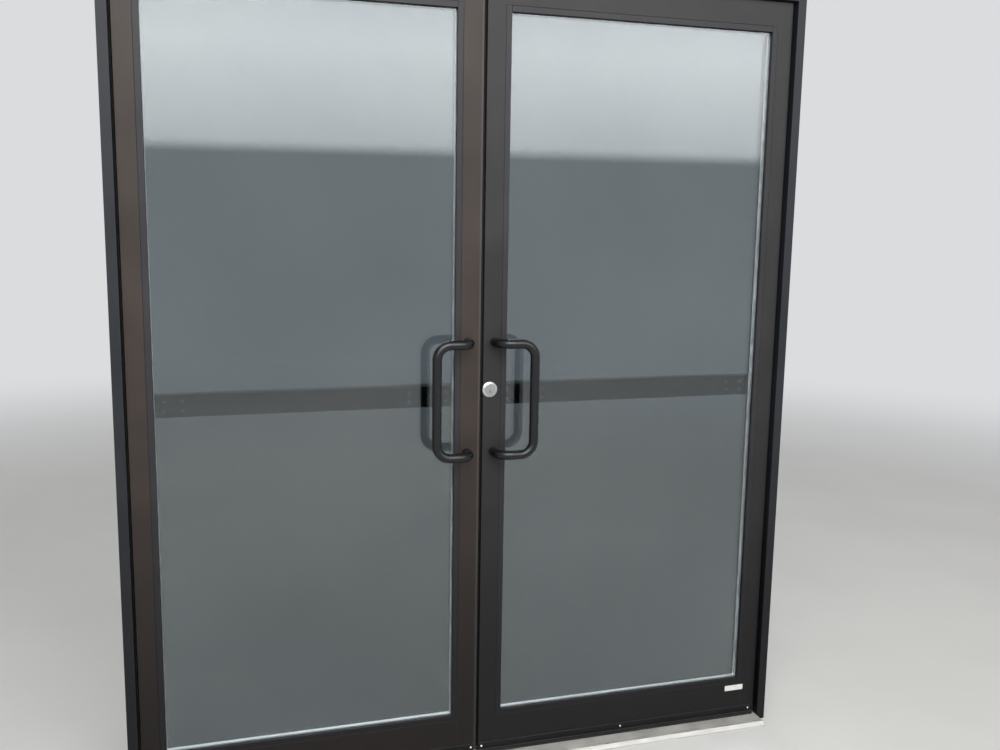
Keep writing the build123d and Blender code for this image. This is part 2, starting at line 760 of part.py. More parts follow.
# Bolts: a tip, a rod and a foot that reaches through the stile into the case
def build_bolt(tip_z, foot_z, up):
    with BuildPart() as bolt:
        tip_start = tip_z - up * bolt_length
        for start, end, radius in ((tip_start, tip_z, bolt_radius), (foot_z, tip_start, rod_radius)):
            low = min(start, end)
            raise_rounds(Plane.XY.offset(low), [(bolt_x, bolt_y)], radius, abs(end - start))
        tip_face = bolt.faces().sort_by(Axis.Z)[-1 if up > 0 else 0]
        chamfer(tip_face.edges(), bolt_tip)
        foot_end = foot_z + up * rod_foot_height
        block(
            (bolt_x - rod_foot_width / 2, bolt_x + rod_foot_width / 2),
            (bolt_y, leaf_back + bar_wall + rod_foot_reach),
            (min(foot_z, foot_end), max(foot_z, foot_end)),
        )
    return bolt.part


save_pair(build_bolt(leaf_top - bolt_rest_gap, hardware_level + rod_foot_gap / 2, 1), "top_bolt")
save_pair(build_bolt(leaf_bottom + bolt_rest_gap, hardware_level - rod_foot_gap / 2, -1), "bottom_bolt")

with BuildPart() as bolt_guides:
    for low in (leaf_top - guide_depth, leaf_bottom):
        block(
            (meeting_x + leaf_wall, meeting_joint_x - leaf_wall), leaf_cavity_y, (low, low + guide_depth)
        )
        pierce(Plane.XY.offset(low), [(bolt_x, bolt_y)], bolt_radius + bolt_fit, guide_depth)
save_pair(bolt_guides.part, "bolt_guides")

# Sweep: an aluminium carrier on the outside face and a fin that meets the threshold
sweep_start_x = meeting_x + sweep_inset
sweep_top = leaf_bottom + sweep_height
fin_middle_y = leaf_front - sweep_bead_radius
with BuildPart() as sweep_carrier:
    with BuildSketch(plane_facing_right(sweep_start_x)):
        with BuildLine():
            Polyline(
                (leaf_front, leaf_bottom),
                (leaf_front - sweep_plate, leaf_bottom),
                (leaf_front - sweep_plate, sweep_top - sweep_ease),
                (leaf_front - sweep_plate + sweep_ease, sweep_top),
                (leaf_front, sweep_top),
                close=True,
            )
        make_face()
        with Locations((fin_middle_y, leaf_bottom)):
            Circle(sweep_bead_radius)
            with Locations((0, -sweep_bead_radius / 2)):
                Rectangle(fin_thickness + 2 * fin_fit, fin_bite, mode=Mode.SUBTRACT)
    extrude(amount=sweep_end_x - sweep_start_x)
    pierce(
        plane_facing_out(leaf_front),
        [(x, sweep_screw_z) for x in sweep_screw_xs],
        sweep_screw_radius + sweep_screw_fit,
        sweep_plate,
    )
save_pair(sweep_carrier.part, "sweep_carrier")

fin_bottom = threshold_height + fin_floor_gap
fin_top = leaf_bottom - sweep_bead_radius / 2 + fin_bite / 2
with BuildPart() as sweep_fin:
    block(
        (sweep_start_x, sweep_end_x),
        (fin_middle_y - fin_thickness / 2, fin_middle_y + fin_thickness / 2),
        (fin_bottom, fin_top),
    )
save_pair(sweep_fin.part, "sweep_fin")

# Screws: through-bolts of the pull, screws in the back of the exit device, and sweep screws
with BuildPart() as screws:
    shank_front = leaf_front - pull_thread_depth
    raise_rounds(plane_facing_out(leaf_back), pull_holes, pull_bolt_radius, leaf_back - shank_front)
    raise_rounds(plane_facing_out(leaf_back + pull_bolt_head), pull_holes, pull_bolt_head_radius, pull_bolt_head)
    bar_screws = case_screws + bracket_screws
    raise_rounds(plane_facing_out(leaf_back), bar_screws, bar_screw_head_radius, bar_screw_head)
    raise_rounds(plane_facing_out(leaf_back + bar_wall), case_screws, bar_screw_radius, bar_wall)
    raise_rounds(plane_facing_out(leaf_back + bar_screw_length), bracket_screws, bar_screw_radius, bar_screw_length)
    sweep_screws = [(x, sweep_screw_z) for x in sweep_screw_xs]
    raise_rounds(plane_facing_out(leaf_front - sweep_plate), sweep_screws, sweep_screw_head_radius, sweep_screw_head)
    raise_rounds(
        plane_facing_out(leaf_front + leaf_wall), sweep_screws, sweep_screw_radius, sweep_plate + leaf_wall
    )
save_pair(screws.part, "screws")

# Astragal on the left leaf's meeting edge, with a brush that closes the gap
astragal_y = (leaf_front + astragal_inset, leaf_back - astragal_inset)
astragal_edge_x = -meeting_x + astragal_thickness
astragal_z = (leaf_bottom + astragal_inset, leaf_top - astragal_inset)
with BuildPart() as astragal:
    block((-meeting_x, astragal_edge_x), astragal_y, astragal_z)
    with BuildSketch(Plane.XY.offset(astragal_z[0])):
        with BuildLine():
            Polyline(*brush_slot_points(astragal_edge_x, -1, leaf_middle), close=True)
        make_face()
    extrude(amount=astragal_z[1] - astragal_z[0], mode=Mode.SUBTRACT)
save(astragal.part, "left_astragal")

with BuildPart() as astragal_brush:
    with BuildSketch(Plane.XY.offset(astragal_z[0])):
        with BuildLine():
            astragal_reach = meeting_x - astragal_edge_x - brush_leaf_gap
            Polyline(*brush_points(astragal_edge_x, -1, leaf_middle, astragal_reach), close=True)
        make_face()
    extrude(amount=astragal_z[1] - astragal_z[0])
save(astragal_brush.part, "left_astragal_brush")

# Lock cylinder: body, turned collar and key plug with its cam
cylinder_face_y = leaf_front - cylinder_proud
cylinder_back_y = leaf_front + cylinder_depth
cylinder_length = cylinder_back_y - cylinder_face_y
with BuildPart() as cylinder_body:
    raise_rounds(plane_facing_out(cylinder_back_y), [(cylinder_x, cylinder_z)], cylinder_radius, cylinder_length)
    chamfer(cylinder_body.faces().sort_by(Axis.Y)[0].edges(), edge_radius)
    pierce(plane_facing_out(cylinder_back_y), [(cylinder_x, plug_z)], plug_radius + plug_fit, cylinder_length)
save(cylinder_body.part, "right_cylinder_body")

with BuildPart() as cylinder_collar:
    collar_plane = Plane(origin=(cylinder_x, leaf_front, cylinder_z), x_dir=(1, 0, 0), z_dir=(0, 0, 1))
    with BuildSketch(collar_plane):
        with BuildLine():
            Polyline(
                (cylinder_radius + cylinder_fit, 0),
                (collar_radius, 0),
                (collar_radius, -collar_rim),
                (collar_top_radius, -cylinder_proud + edge_radius),
                (collar_top_radius - edge_radius, -cylinder_proud),
                (cylinder_radius + cylinder_fit, -cylinder_proud),
                close=True,
            )
        make_face()
    revolve(axis=Axis((cylinder_x, leaf_front, cylinder_z), (0, 1, 0)))
save(cylinder_collar.part, "right_cylinder_collar")

with BuildPart() as cylinder_plug:
    plug_length = cylinder_length + cam_gap
    plug_back_y = cylinder_back_y + cam_gap
    raise_rounds(plane_facing_out(plug_back_y), [(cylinder_x, plug_z)], plug_radius, plug_length)
    with BuildSketch(plane_facing_out(plug_back_y + cam_thickness)):
        with Locations((cylinder_x, plug_z)):
            Circle(cam_radius)
            with Locations((0, -cam_reach / 2)):
                SlotOverall(cam_reach + cam_radius, cam_radius, rotation=90)
    extrude(amount=cam_thickness)
    with BuildSketch(plane_facing_out(cylinder_face_y + keyway_depth)):
        with Locations((cylinder_x, plug_z)):
            Rectangle(keyway_width, keyway_height)
            with Locations((keyway_width / 2, -keyway_height / 4)):
                Rectangle(keyway_width, keyway_height / 4)
    extrude(amount=keyway_depth, mode=Mode.SUBTRACT)
save(cylinder_plug.part, "right_cylinder_plug")
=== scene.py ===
import math

import bmesh
import bpy
from mathutils import Matrix, Vector


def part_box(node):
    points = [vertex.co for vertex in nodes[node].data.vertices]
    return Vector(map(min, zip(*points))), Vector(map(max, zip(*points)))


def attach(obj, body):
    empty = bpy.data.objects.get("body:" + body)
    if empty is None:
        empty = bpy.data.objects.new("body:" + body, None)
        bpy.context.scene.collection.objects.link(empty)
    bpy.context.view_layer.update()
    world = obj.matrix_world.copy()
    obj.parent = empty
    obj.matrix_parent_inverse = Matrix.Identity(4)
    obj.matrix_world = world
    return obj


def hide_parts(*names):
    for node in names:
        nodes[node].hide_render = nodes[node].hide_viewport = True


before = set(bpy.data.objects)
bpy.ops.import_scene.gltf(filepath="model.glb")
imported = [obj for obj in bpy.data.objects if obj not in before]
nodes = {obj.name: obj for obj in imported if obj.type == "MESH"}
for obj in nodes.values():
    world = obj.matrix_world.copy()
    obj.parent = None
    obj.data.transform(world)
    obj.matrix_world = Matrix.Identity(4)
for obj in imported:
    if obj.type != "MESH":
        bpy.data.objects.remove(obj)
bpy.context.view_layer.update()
scene = bpy.context.scene
print("frame loaded:", len(nodes), "nodes")

mm = 0.001  # the scene is in metres
sides = ("left", "right")
mergeReach = 0.001 * mm  # vertices of a new mesh that lie nearer than this are one
slack = 0.01 * mm  # the same for a CAD mesh, and for heights that are compared
noiseLow, noiseHigh = 0.3, 0.7  # nearly all values of a noise lie between these


def hexToLinear(hexText):
    channels = [int(hexText[place:place + 2], 16) / 255 for place in (1, 3, 5)]
    linear = [c / 12.92 if c <= 0.04045 else ((c + 0.055) / 1.055) ** 2.4 for c in channels]
    return (*linear, 1.0)


# the stops of a colour ramp from its tones, which are pairs of a place on it and a hex colour
def linearStops(tones):
    return [(at, hexToLinear(colour)) for at, colour in tones]


# settings are the node's own attributes and the values of inputs, links are the sockets that feed
# inputs, and stops are the places and colours of a ramp. An input goes by its name or, where the
# node has that name more than once, by its number
def addNode(tree, kind, settings=None, links=None, stops=None):
    node = tree.nodes.new(kind)
    for name, value in (settings or {}).items():
        if isinstance(name, int) or name in node.inputs:
            node.inputs[name].default_value = value
        else:
            setattr(node, name, value)
    for name, socket in (links or {}).items():
        tree.links.new(socket, node.inputs[name])
    if stops:
        elements = node.color_ramp.elements
        while len(elements) < len(stops):
            elements.new(0.5)
        for element, (position, colour) in zip(elements, stops):
            element.position = position
            element.color = colour
    return node


def startMaterial(name):
    material = bpy.data.materials.new(name)
    material.use_nodes = True
    tree = material.node_tree
    tree.nodes.clear()
    place = addNode(tree, "ShaderNodeTexCoord").outputs["Object"]
    return material, tree, place


def meshFrom(work, name):
    mesh = bpy.data.meshes.new(name)
    work.to_mesh(mesh)
    work.free()
    return mesh


# Stage: a pale grey floor that fades into a pale sky. A wide panel far in front, brightest some way
# above its foot, stands for an open sky, a lamp high and near gives the upper half its sheen, and
# one lights the inside
stageLook = {
    "floorSize": 24.0, "floorDrop": 0.4 * mm, "floorRoughness": 0.85, "floorShine": 0.2,
    "floorTones": [(noiseLow, "#C6C5C2"), (noiseHigh, "#CBCAC7")], "mottle": 667 * mm,
    "fadeFrom": 3.2, "fadeTo": 8.0, "skyColour": "#DADCDE", "ambient": 0.5,
}
# fade is the share of a panel's or lamp's width and height over which it dims towards each edge,
# and byHeight gives the share of the panel's strength at some shares of its height
skyPanel = {
    "at": (0.8, -7.5, 5.1), "size": (16.0, 6.6), "strength": 4.3, "fade": (0.08, 0.03),
    "byHeight": [(0.02, 0.58), (0.2, 1.0), (0.45, 0.55)],
}
lamps = {
    "highFront": {"at": (-0.7, -3.3, 4.0), "size": (5.6, 2.4), "watts": 310, "fade": (0.3, 0.4)},
    "behind": {"at": (0.6, 4.6, 5.0), "size": (3.6, 2.4), "watts": 150, "fade": (0.4, 0.4)},
}
aimPoint = Vector((0, 0, 1.1))  # the middle of the doors


# a place whose Z axis points at the doors
def facingPlace(at):
    turn = (aimPoint - Vector(at)).to_track_quat("Z", "Y").to_matrix().to_4x4()
    return Matrix.Translation(at) @ turn


def addStagePlane(name, width, height, place):
    work = bmesh.new()
    bmesh.ops.create_grid(work, x_segments=1, y_segments=1, size=0.5)
    bmesh.ops.scale(work, vec=(width, height, 1), verts=work.verts)
    bmesh.ops.transform(work, matrix=place, verts=work.verts)
    plane = bpy.data.objects.new(name, meshFrom(work, name))
    scene.collection.objects.link(plane)
    return plane


# one for the rays by which the camera, metal and glass see the background, zero for the rest
def seeingRays(tree):
    path = addNode(tree, "ShaderNodeLightPath")
    seen = path.outputs["Is Camera Ray"]
    for ray in ("Is Glossy Ray", "Is Transmission Ray"):
        seen = addNode(tree, "ShaderNodeMath", {"operation": "MAXIMUM"}, {
            0: seen, 1: path.outputs[ray],
        }).outputs["Value"]
    return seen


# how bright a point of a panel is, given how far across and up it lies, each from 0 to 1
def dimToEdges(tree, across, up, fade):
    rises = []
    for share, position in zip(fade, (across, up)):
        inset = addNode(tree, "ShaderNodeMath", {"operation": "PINGPONG", 1: 0.5}, {0: position})
        rises.append(addNode(tree, "ShaderNodeMapRange", {
            "interpolation_type": "SMOOTHSTEP", "From Min": 0.0, "From Max": share,
        }, {"Value": inset.outputs["Value"]}))
    return addNode(tree, "ShaderNodeMath", {"operation": "MULTIPLY"}, {
        0: rises[0].outputs["Result"], 1: rises[1].outputs["Result"],
    }).outputs["Value"]


# The sky panel blocks nothing, lights what it faces and shows in metal and in what glass
# mirrors, but not through glass from behind, as the camera doesn't see it beside the glass either
def softPanelGlow():
    material, tree, place = startMaterial("softPanelGlow")
    spread = place.node.outputs["Generated"]  # from 0 to 1 over the panel's box
    parts = addNode(tree, "ShaderNodeSeparateXYZ", links={"Vector": spread})
    path = addNode(tree, "ShaderNodeLightPath")
    unmirrored = addNode(tree, "ShaderNodeMath", {"operation": "LESS_THAN", 1: 0.5}, {
        0: path.outputs["Glossy Depth"],
    })
    through = addNode(tree, "ShaderNodeMath", {"operation": "MULTIPLY"}, {
        0: path.outputs["Is Transmission Ray"], 1: unmirrored.outputs["Value"],
    })
    strength = addNode(tree, "ShaderNodeMapRange", {"To Min": skyPanel["strength"], "To Max": 0.0}, {
        "Value": through.outputs["Value"],
    })
    byHeight = addNode(tree, "ShaderNodeValToRGB", links={"Fac": parts.outputs["Z"]}, stops=[
        (upward, (share, share, share, 1.0)) for upward, share in skyPanel["byHeight"]
    ])
    bright = dimToEdges(tree, parts.outputs["X"], parts.outputs["Z"], skyPanel["fade"])
    for factor in (strength.outputs["Result"], byHeight.outputs["Color"]):
        bright = addNode(tree, "ShaderNodeMath", {"operation": "MULTIPLY"}, {
            0: bright, 1: factor,
        }).outputs["Value"]
    glow = addNode(tree, "ShaderNodeEmission", links={"Strength": bright})
    nothing = addNode(tree, "ShaderNodeBsdfTransparent")
    both = addNode(tree, "ShaderNodeAddShader", links={
        0: nothing.outputs["BSDF"], 1: glow.outputs["Emission"],
    })
    addNode(tree, "ShaderNodeOutputMaterial", links={"Surface": both.outputs["Shader"]})
    return material


def hangSkyPanel():
    width, height = skyPanel["size"]
    panel = addStagePlane("skyPanel", width, height, facingPlace(skyPanel["at"]))
    panel.visible_camera = False
    panel.data.materials.append(softPanelGlow())


def hangLamps():
    turnAbout = Matrix.Rotation(math.pi, 4, "Y")  # a lamp shines along its own minus Z
    for name, lamp in lamps.items():
        light = bpy.data.lights.new(name, "AREA")
        light.shape = "RECTANGLE"
        light.size, light.size_y = lamp["size"]
        light.energy = lamp["watts"]
        light.use_nodes = True
        tree = light.node_tree
        tree.nodes.clear()
        spread = addNode(tree, "ShaderNodeNewGeometry").outputs["Parametric"]
        parts = addNode(tree, "ShaderNodeSeparateXYZ", links={"Vector": spread})
        bright = dimToEdges(tree, parts.outputs["X"], parts.outputs["Y"], lamp["fade"])
        glow = addNode(tree, "ShaderNodeEmission", links={"Strength": bright})
        addNode(tree, "ShaderNodeOutputLight", links={"Surface": glow.outputs["Emission"]})
        holder = bpy.data.objects.new(name, light)
        holder.matrix_world = facingPlace(lamp["at"]) @ turnAbout
        scene.collection.objects.link(holder)


# matt floor paint, faintly mottled, that turns to sky some metres out for whoever sees it
def mattFloorPaint():
    material, tree, place = startMaterial("mattFloorPaint")
    mottle = addNode(tree, "ShaderNodeTexNoise", {"Scale": 1 / stageLook["mottle"], "Detail": 3.0}, {
        "Vector": place,
    })
    stops = linearStops(stageLook["floorTones"])
    tone = addNode(tree, "ShaderNodeValToRGB", links={"Fac": mottle.outputs["Fac"]}, stops=stops)
    paint = addNode(tree, "ShaderNodeBsdfPrincipled", {
        "Roughness": stageLook["floorRoughness"], "Specular IOR Level": stageLook["floorShine"],
    }, {"Base Color": tone.outputs["Color"]})
    distance = addNode(tree, "ShaderNodeVectorMath", {"operation": "LENGTH"}, {0: place})
    fade = addNode(tree, "ShaderNodeMapRange", {
        "interpolation_type": "SMOOTHSTEP",
        "From Min": stageLook["fadeFrom"], "From Max": stageLook["fadeTo"],
    }, {"Value": distance.outputs["Value"]})
    faded = addNode(tree, "ShaderNodeMath", {"operation": "MULTIPLY"}, {
        0: fade.outputs["Result"], 1: seeingRays(tree),
    })
    distant = addNode(tree, "ShaderNodeEmission", {"Color": hexToLinear(stageLook["skyColour"])})
    ground = addNode(tree, "ShaderNodeMixShader", links={
        0: faded.outputs["Value"], 1: paint.outputs["BSDF"], 2: distant.outputs["Emission"],
    })
    addNode(tree, "ShaderNodeOutputMaterial", links={"Surface": ground.outputs["Shader"]})
    return material


def makeFloor():
    size = stageLook["floorSize"]
    place = Matrix.Translation((0, 0, -stageLook["floorDrop"]))
    floor = addStagePlane("studioFloor", size, size, place)
    floor.data.materials.append(mattFloorPaint())


# what the camera, metal and glass see of the sky is paler than what lights the scene
def makeSky():
    sky = hexToLinear(stageLook["skyColour"])
    world = bpy.data.worlds.new("studioSky")
    scene.world = world
    world.use_nodes = True
    tree = world.node_tree
    tree.nodes.clear()
    lit = addNode(tree, "ShaderNodeBackground", {"Color": sky, "Strength": stageLook["ambient"]})
    shown = addNode(tree, "ShaderNodeBackground", {"Color": sky, "Strength": 1.0})
    both = addNode(tree, "ShaderNodeMixShader", links={
        0: seeingRays(tree), 1: lit.outputs["Background"], 2: shown.outputs["Background"],
    })
    addNode(tree, "ShaderNodeOutputWorld", links={"Surface": both.outputs["Shader"]})


# Camera: at eye height, some way left of the middle, turned right and a little down
cameraLook = {
    "at": (-0.759, -2.590, 1.550), "turnDegrees": (81.05, -0.92, -17.20),
    "lens": 36.32, "sensor": 36.0,  # both in millimetres, as a camera has them
}


def makeCamera():
    data = bpy.data.cameras.new("streetCamera")
    data.lens = cameraLook["lens"]
    data.sensor_width = cameraLook["sensor"]
    holder = bpy.data.objects.new("streetCamera", data)
    holder.location = cameraLook["at"]
    holder.rotation_euler = [math.radians(angle) for angle in cameraLook["turnDegrees"]]
    scene.collection.objects.link(holder)
    scene.camera = holder


scene.view_settings.view_transform = "Standard"
makeFloor()
makeSky()
hangSkyPanel()
hangLamps()
makeCamera()
print("stage, lamps and camera ready")


# one near the edges of a piece and zero elsewhere: near an edge the rounded normal leaves the flat
# one, so the cosine between them falls
def edgeMask(tree, look):
    rounded = addNode(tree, "ShaderNodeBevel", {"samples": 4, "Radius": look["edgeWidth"]})
    flat = addNode(tree, "ShaderNodeNewGeometry")
    cosine = addNode(tree, "ShaderNodeVectorMath", {"operation": "DOT_PRODUCT"}, {
        0: rounded.outputs["Normal"], 1: flat.outputs["Normal"],
    })
    offEdge, onEdge = look["edgeCosines"]
    return addNode(tree, "ShaderNodeMapRange", {"From Min": offEdge, "From Max": onEdge}, {
        "Value": cosine.outputs["Value"],
    }).outputs["Result"]


# orange peel and draw lines together, as a normal
def coatRelief(tree, place, look):
    peel = addNode(tree, "ShaderNodeTexNoise", {"Scale": 1 / look["peel"], "Detail": 2.0}, {
        "Vector": place,
    })
    along = addNode(tree, "ShaderNodeMapping", {"Scale": [1 / size for size in look["drawLines"]]}, {
        "Vector": place,
    })
    lines = addNode(tree, "ShaderNodeTexNoise", {"Scale": 1.0, "Detail": 2.0}, {
        "Vector": along.outputs["Vector"],
    })
    height = addNode(tree, "ShaderNodeMath", {"operation": "ADD"}, {
        0: peel.outputs["Fac"], 1: lines.outputs["Fac"],
    })
    return addNode(tree, "ShaderNodeBump", {
        "Strength": look["relief"], "Distance": look["peelHeight"],
    }, {"Height": height.outputs["Value"]}).outputs["Normal"]


# Satin powder coat on extruded aluminium: baked paint with a fine orange peel that breaks up
# reflections. It turns paler from knee height up and is darkest at its foot: a painted sheen and
# painted shade, the paleness uneven in patches. Its edges are painted paler, partly rub wear and
# partly a painted highlight, and on the glazing stops near black, painted shade where pieces meet.
# It has faint draw lines of the extrusion
def powderCoat(name, look):
    material, tree, place = startMaterial(name)
    height = addNode(tree, "ShaderNodeSeparateXYZ", links={"Vector": place})
    # painted sheen: from the first height given in the look to the second the coat turns paler, so it
    # is darkest at its foot
    paintedSheenByHeight = addNode(tree, "ShaderNodeMapRange", {
        "interpolation_type": "SMOOTHSTEP", "From Min": look["sheenFrom"], "From Max": look["sheenTo"],
    }, {"Value": height.outputs["Z"]})
    patches = addNode(tree, "ShaderNodeTexNoise", {"Scale": 1 / look["patch"], "Detail": 5.0}, {
        "Vector": place,
    })
    uneven = addNode(tree, "ShaderNodeMapRange", {
        "From Min": noiseLow, "From Max": noiseHigh, "To Min": look["patchLeast"], "To Max": 1.0,
    }, {"Value": patches.outputs["Fac"]})
    sheenAndChalk = addNode(tree, "ShaderNodeMath", {"operation": "MULTIPLY"}, {
        0: paintedSheenByHeight.outputs["Result"], 1: uneven.outputs["Result"],
    })
    stops = linearStops([(0.0, look["paint"]), (1.0, look["chalkedAndSheen"])])
    tone = addNode(tree, "ShaderNodeValToRGB", links={"Fac": sheenAndChalk.outputs["Value"]}, stops=stops)
    edgeMark = addNode(tree, "ShaderNodeMath", {"operation": "MULTIPLY"}, {
        0: edgeMask(tree, look), 1: uneven.outputs["Result"],
    })
    # the edges take the look's edge colour: paler on most coats, partly rub wear and partly a painted
    # highlight, and near black on the stops, painted shade in the joints
    edgeWearAndLight = addNode(tree, "ShaderNodeMix", {"data_type": "RGBA", 7: hexToLinear(look["edge"])}, {
        0: edgeMark.outputs["Value"], 6: tone.outputs["Color"],
    })
    gloss = addNode(tree, "ShaderNodeMapRange", {
        "To Min": look["roughness"], "To Max": look["roughness"] + look["patchDulling"],
    }, {"Value": uneven.outputs["Result"]})
    paint = addNode(tree, "ShaderNodeBsdfPrincipled", {
        "IOR": 1.5, "Specular IOR Level": look["shine"],
    }, {
        "Base Color": edgeWearAndLight.outputs[2],
        "Roughness": gloss.outputs["Result"],
        "Normal": coatRelief(tree, place, look),
    })
    addNode(tree, "ShaderNodeOutputMaterial", links={"Surface": paint.outputs["BSDF"]})
    return material


# drawLines is the size of the lines' pattern along X, Y and Z: the lines run the long way. They are
# finer than 1 mm in life, and orange peel is nearer 0.5 mm: both are drawn coarser so that they show
frameCoat = {
    "paint": "#0C0D10", "chalkedAndSheen": "#22252A", "roughness": 0.36, "shine": 0.24,
    # the coat turns paler between these two heights: a painted sheen, with painted shade at its foot
    "sheenFrom": 150 * mm, "sheenTo": 1200 * mm,
    "patch": 180 * mm, "patchLeast": 0.55, "patchDulling": 0.08,
    # the edges are painted paler than the coat: partly rub wear and partly a painted highlight
    "edge": "#403F3E", "edgeWidth": 1.0 * mm, "edgeCosines": (0.995, 0.88),
    "relief": 0.08, "peel": 2 * mm, "peelHeight": 0.2 * mm,
    "drawLines": (3.85 * mm, 3.85 * mm, 500 * mm),
}
levelLines = (500 * mm, 3.85 * mm, 3.85 * mm)
headCoat = {**frameCoat, "drawLines": levelLines}
# the left leaf's coat is painted warmer and paler than the right's: a painted reflection of warm
# surroundings, as both leaves have one paint
leafCoats = {
    "left": {**frameCoat, "paint": "#14100E", "chalkedAndSheen": "#372F2B"},
    "right": {**frameCoat, "paint": "#0F0F0F", "chalkedAndSheen": "#2B2A2A"},
}
# the stops' edges are painted near black: painted shade in the joints where they meet the stiles and
# rails
stopCoat = {
    **frameCoat, "paint": "#121114", "chalkedAndSheen": "#2D2C30", "edge": "#050506", "edgeWidth": 1.6 * mm,
}
# the astragal is painted paler than the leaves: a painted highlight along the meeting edge
astragalCoat = {**frameCoat, "paint": "#2B2827", "chalkedAndSheen": "#45403E"}
pullCoat = {
    **frameCoat, "paint": "#060709", "chalkedAndSheen": "#08090C",
    "roughness": 0.2, "shine": 0.42, "relief": 0.02,
}
deviceCoat = {**headCoat, "paint": "#16130F", "chalkedAndSheen": "#211D19", "shine": 0.4}
sweepCoat = {**headCoat, "paint": "#08090B", "chalkedAndSheen": "#17181C"}


# Mill-finish aluminium: bare extruded metal, streaked along its length by the die, and in
# patches dusty, where it is less of a mirror
def millAluminium(name, look):
    material, tree, place = startMaterial(name)
    along = addNode(tree, "ShaderNodeMapping", {"Scale": [1 / size for size in look["drawLines"]]}, {
        "Vector": place,
    })
    streaks = addNode(tree, "ShaderNodeTexNoise", {"Scale": 1.0, "Detail": 4.0}, {
        "Vector": along.outputs["Vector"],
    })
    scuffs = addNode(tree, "ShaderNodeTexNoise", {
        "Scale": 1 / look["scuff"], "Detail": 6.0, "Roughness": 0.65,
    }, {"Vector": place})
    both = addNode(tree, "ShaderNodeMix", {"Factor": look["scuffShare"]}, {
        "A": streaks.outputs["Fac"], "B": scuffs.outputs["Fac"],
    })
    stops = linearStops(look["tones"])
    tone = addNode(tree, "ShaderNodeValToRGB", links={"Fac": both.outputs["Result"]}, stops=stops)
    gloss = addNode(tree, "ShaderNodeMapRange", {
        "From Min": noiseLow, "From Max": noiseHigh,
        "To Min": look["roughness"] + look["dulling"], "To Max": look["roughness"],
    }, {"Value": both.outputs["Result"]})
    bump = addNode(tree, "ShaderNodeBump", {
        "Strength": look["relief"], "Distance": look["lineHeight"],
    }, {"Height": streaks.outputs["Fac"]})
    bare = addNode(tree, "ShaderNodeMapRange", {
        "From Min": look["dustyTo"], "From Max": look["bareFrom"],
        "To Min": look["bareLeast"], "To Max": 1.0,
    }, {"Value": scuffs.outputs["Fac"]})
    metal = addNode(tree, "ShaderNodeBsdfPrincipled", links={
        "Metallic": bare.outputs["Result"],
        "Base Color": tone.outputs["Color"],
        "Roughness": gloss.outputs["Result"],
        "Normal": bump.outputs["Normal"],
    })
    addNode(tree, "ShaderNodeOutputMaterial", links={"Surface": metal.outputs["BSDF"]})
    return material


# here too the draw lines are drawn coarser than they are. Where the scuffs' noise is below dustyTo
# the metal is dustiest, with the share bareLeast of it bare, and above bareFrom all of it is bare
thresholdMetal = {
    "tones": [(noiseLow, "#AAA7A0"), (0.6, "#C4C3BF")], "roughness": 0.6, "dulling": 0.15,
    "scuff": 60 * mm, "scuffShare": 0.45, "dustyTo": 0.35, "bareFrom": 0.6, "bareLeast": 0.3,
    "drawLines": (333 * mm, 1.11 * mm, 1.11 * mm), "relief": 0.12, "lineHeight": 0.1 * mm,
}
spacerMetal = {
    **thresholdMetal, "tones": [(noiseLow, "#DCDDDE"), (0.6, "#EDEEEF")], "roughness": 0.4,
    "scuff": 20 * mm, "bareLeast": 0.1,
}


# Bright zinc plate on steel: pale silver with a faint straw and blue cast
def zincPlate(name, look):
    material, tree, place = startMaterial(name)
    cast = addNode(tree, "ShaderNodeTexNoise", {"Scale": 1 / look["patch"], "Detail": 3.0}, {
        "Vector": place,
    })
    stops = linearStops(look["tones"])
    tone = addNode(tree, "ShaderNodeValToRGB", links={"Fac": cast.outputs["Fac"]}, stops=stops)
    gloss = addNode(tree, "ShaderNodeMapRange", {
        "To Min": look["roughness"], "To Max": look["roughness"] + look["dulling"],
    }, {"Value": cast.outputs["Fac"]})
    metal = addNode(tree, "ShaderNodeBsdfPrincipled", {"Metallic": 1.0}, {
        "Base Color": tone.outputs["Color"], "Roughness": gloss.outputs["Result"],
    })
    addNode(tree, "ShaderNodeOutputMaterial", links={"Surface": metal.outputs["BSDF"]})
    return material


brightZinc = {
    "tones": [(noiseLow, "#DCE0E5"), (0.55, "#E6E6E4"), (0.8, "#E6E0D2")],  # bluish, plain, straw
    "roughness": 0.24, "dulling": 0.12, "patch": 12 * mm,
}


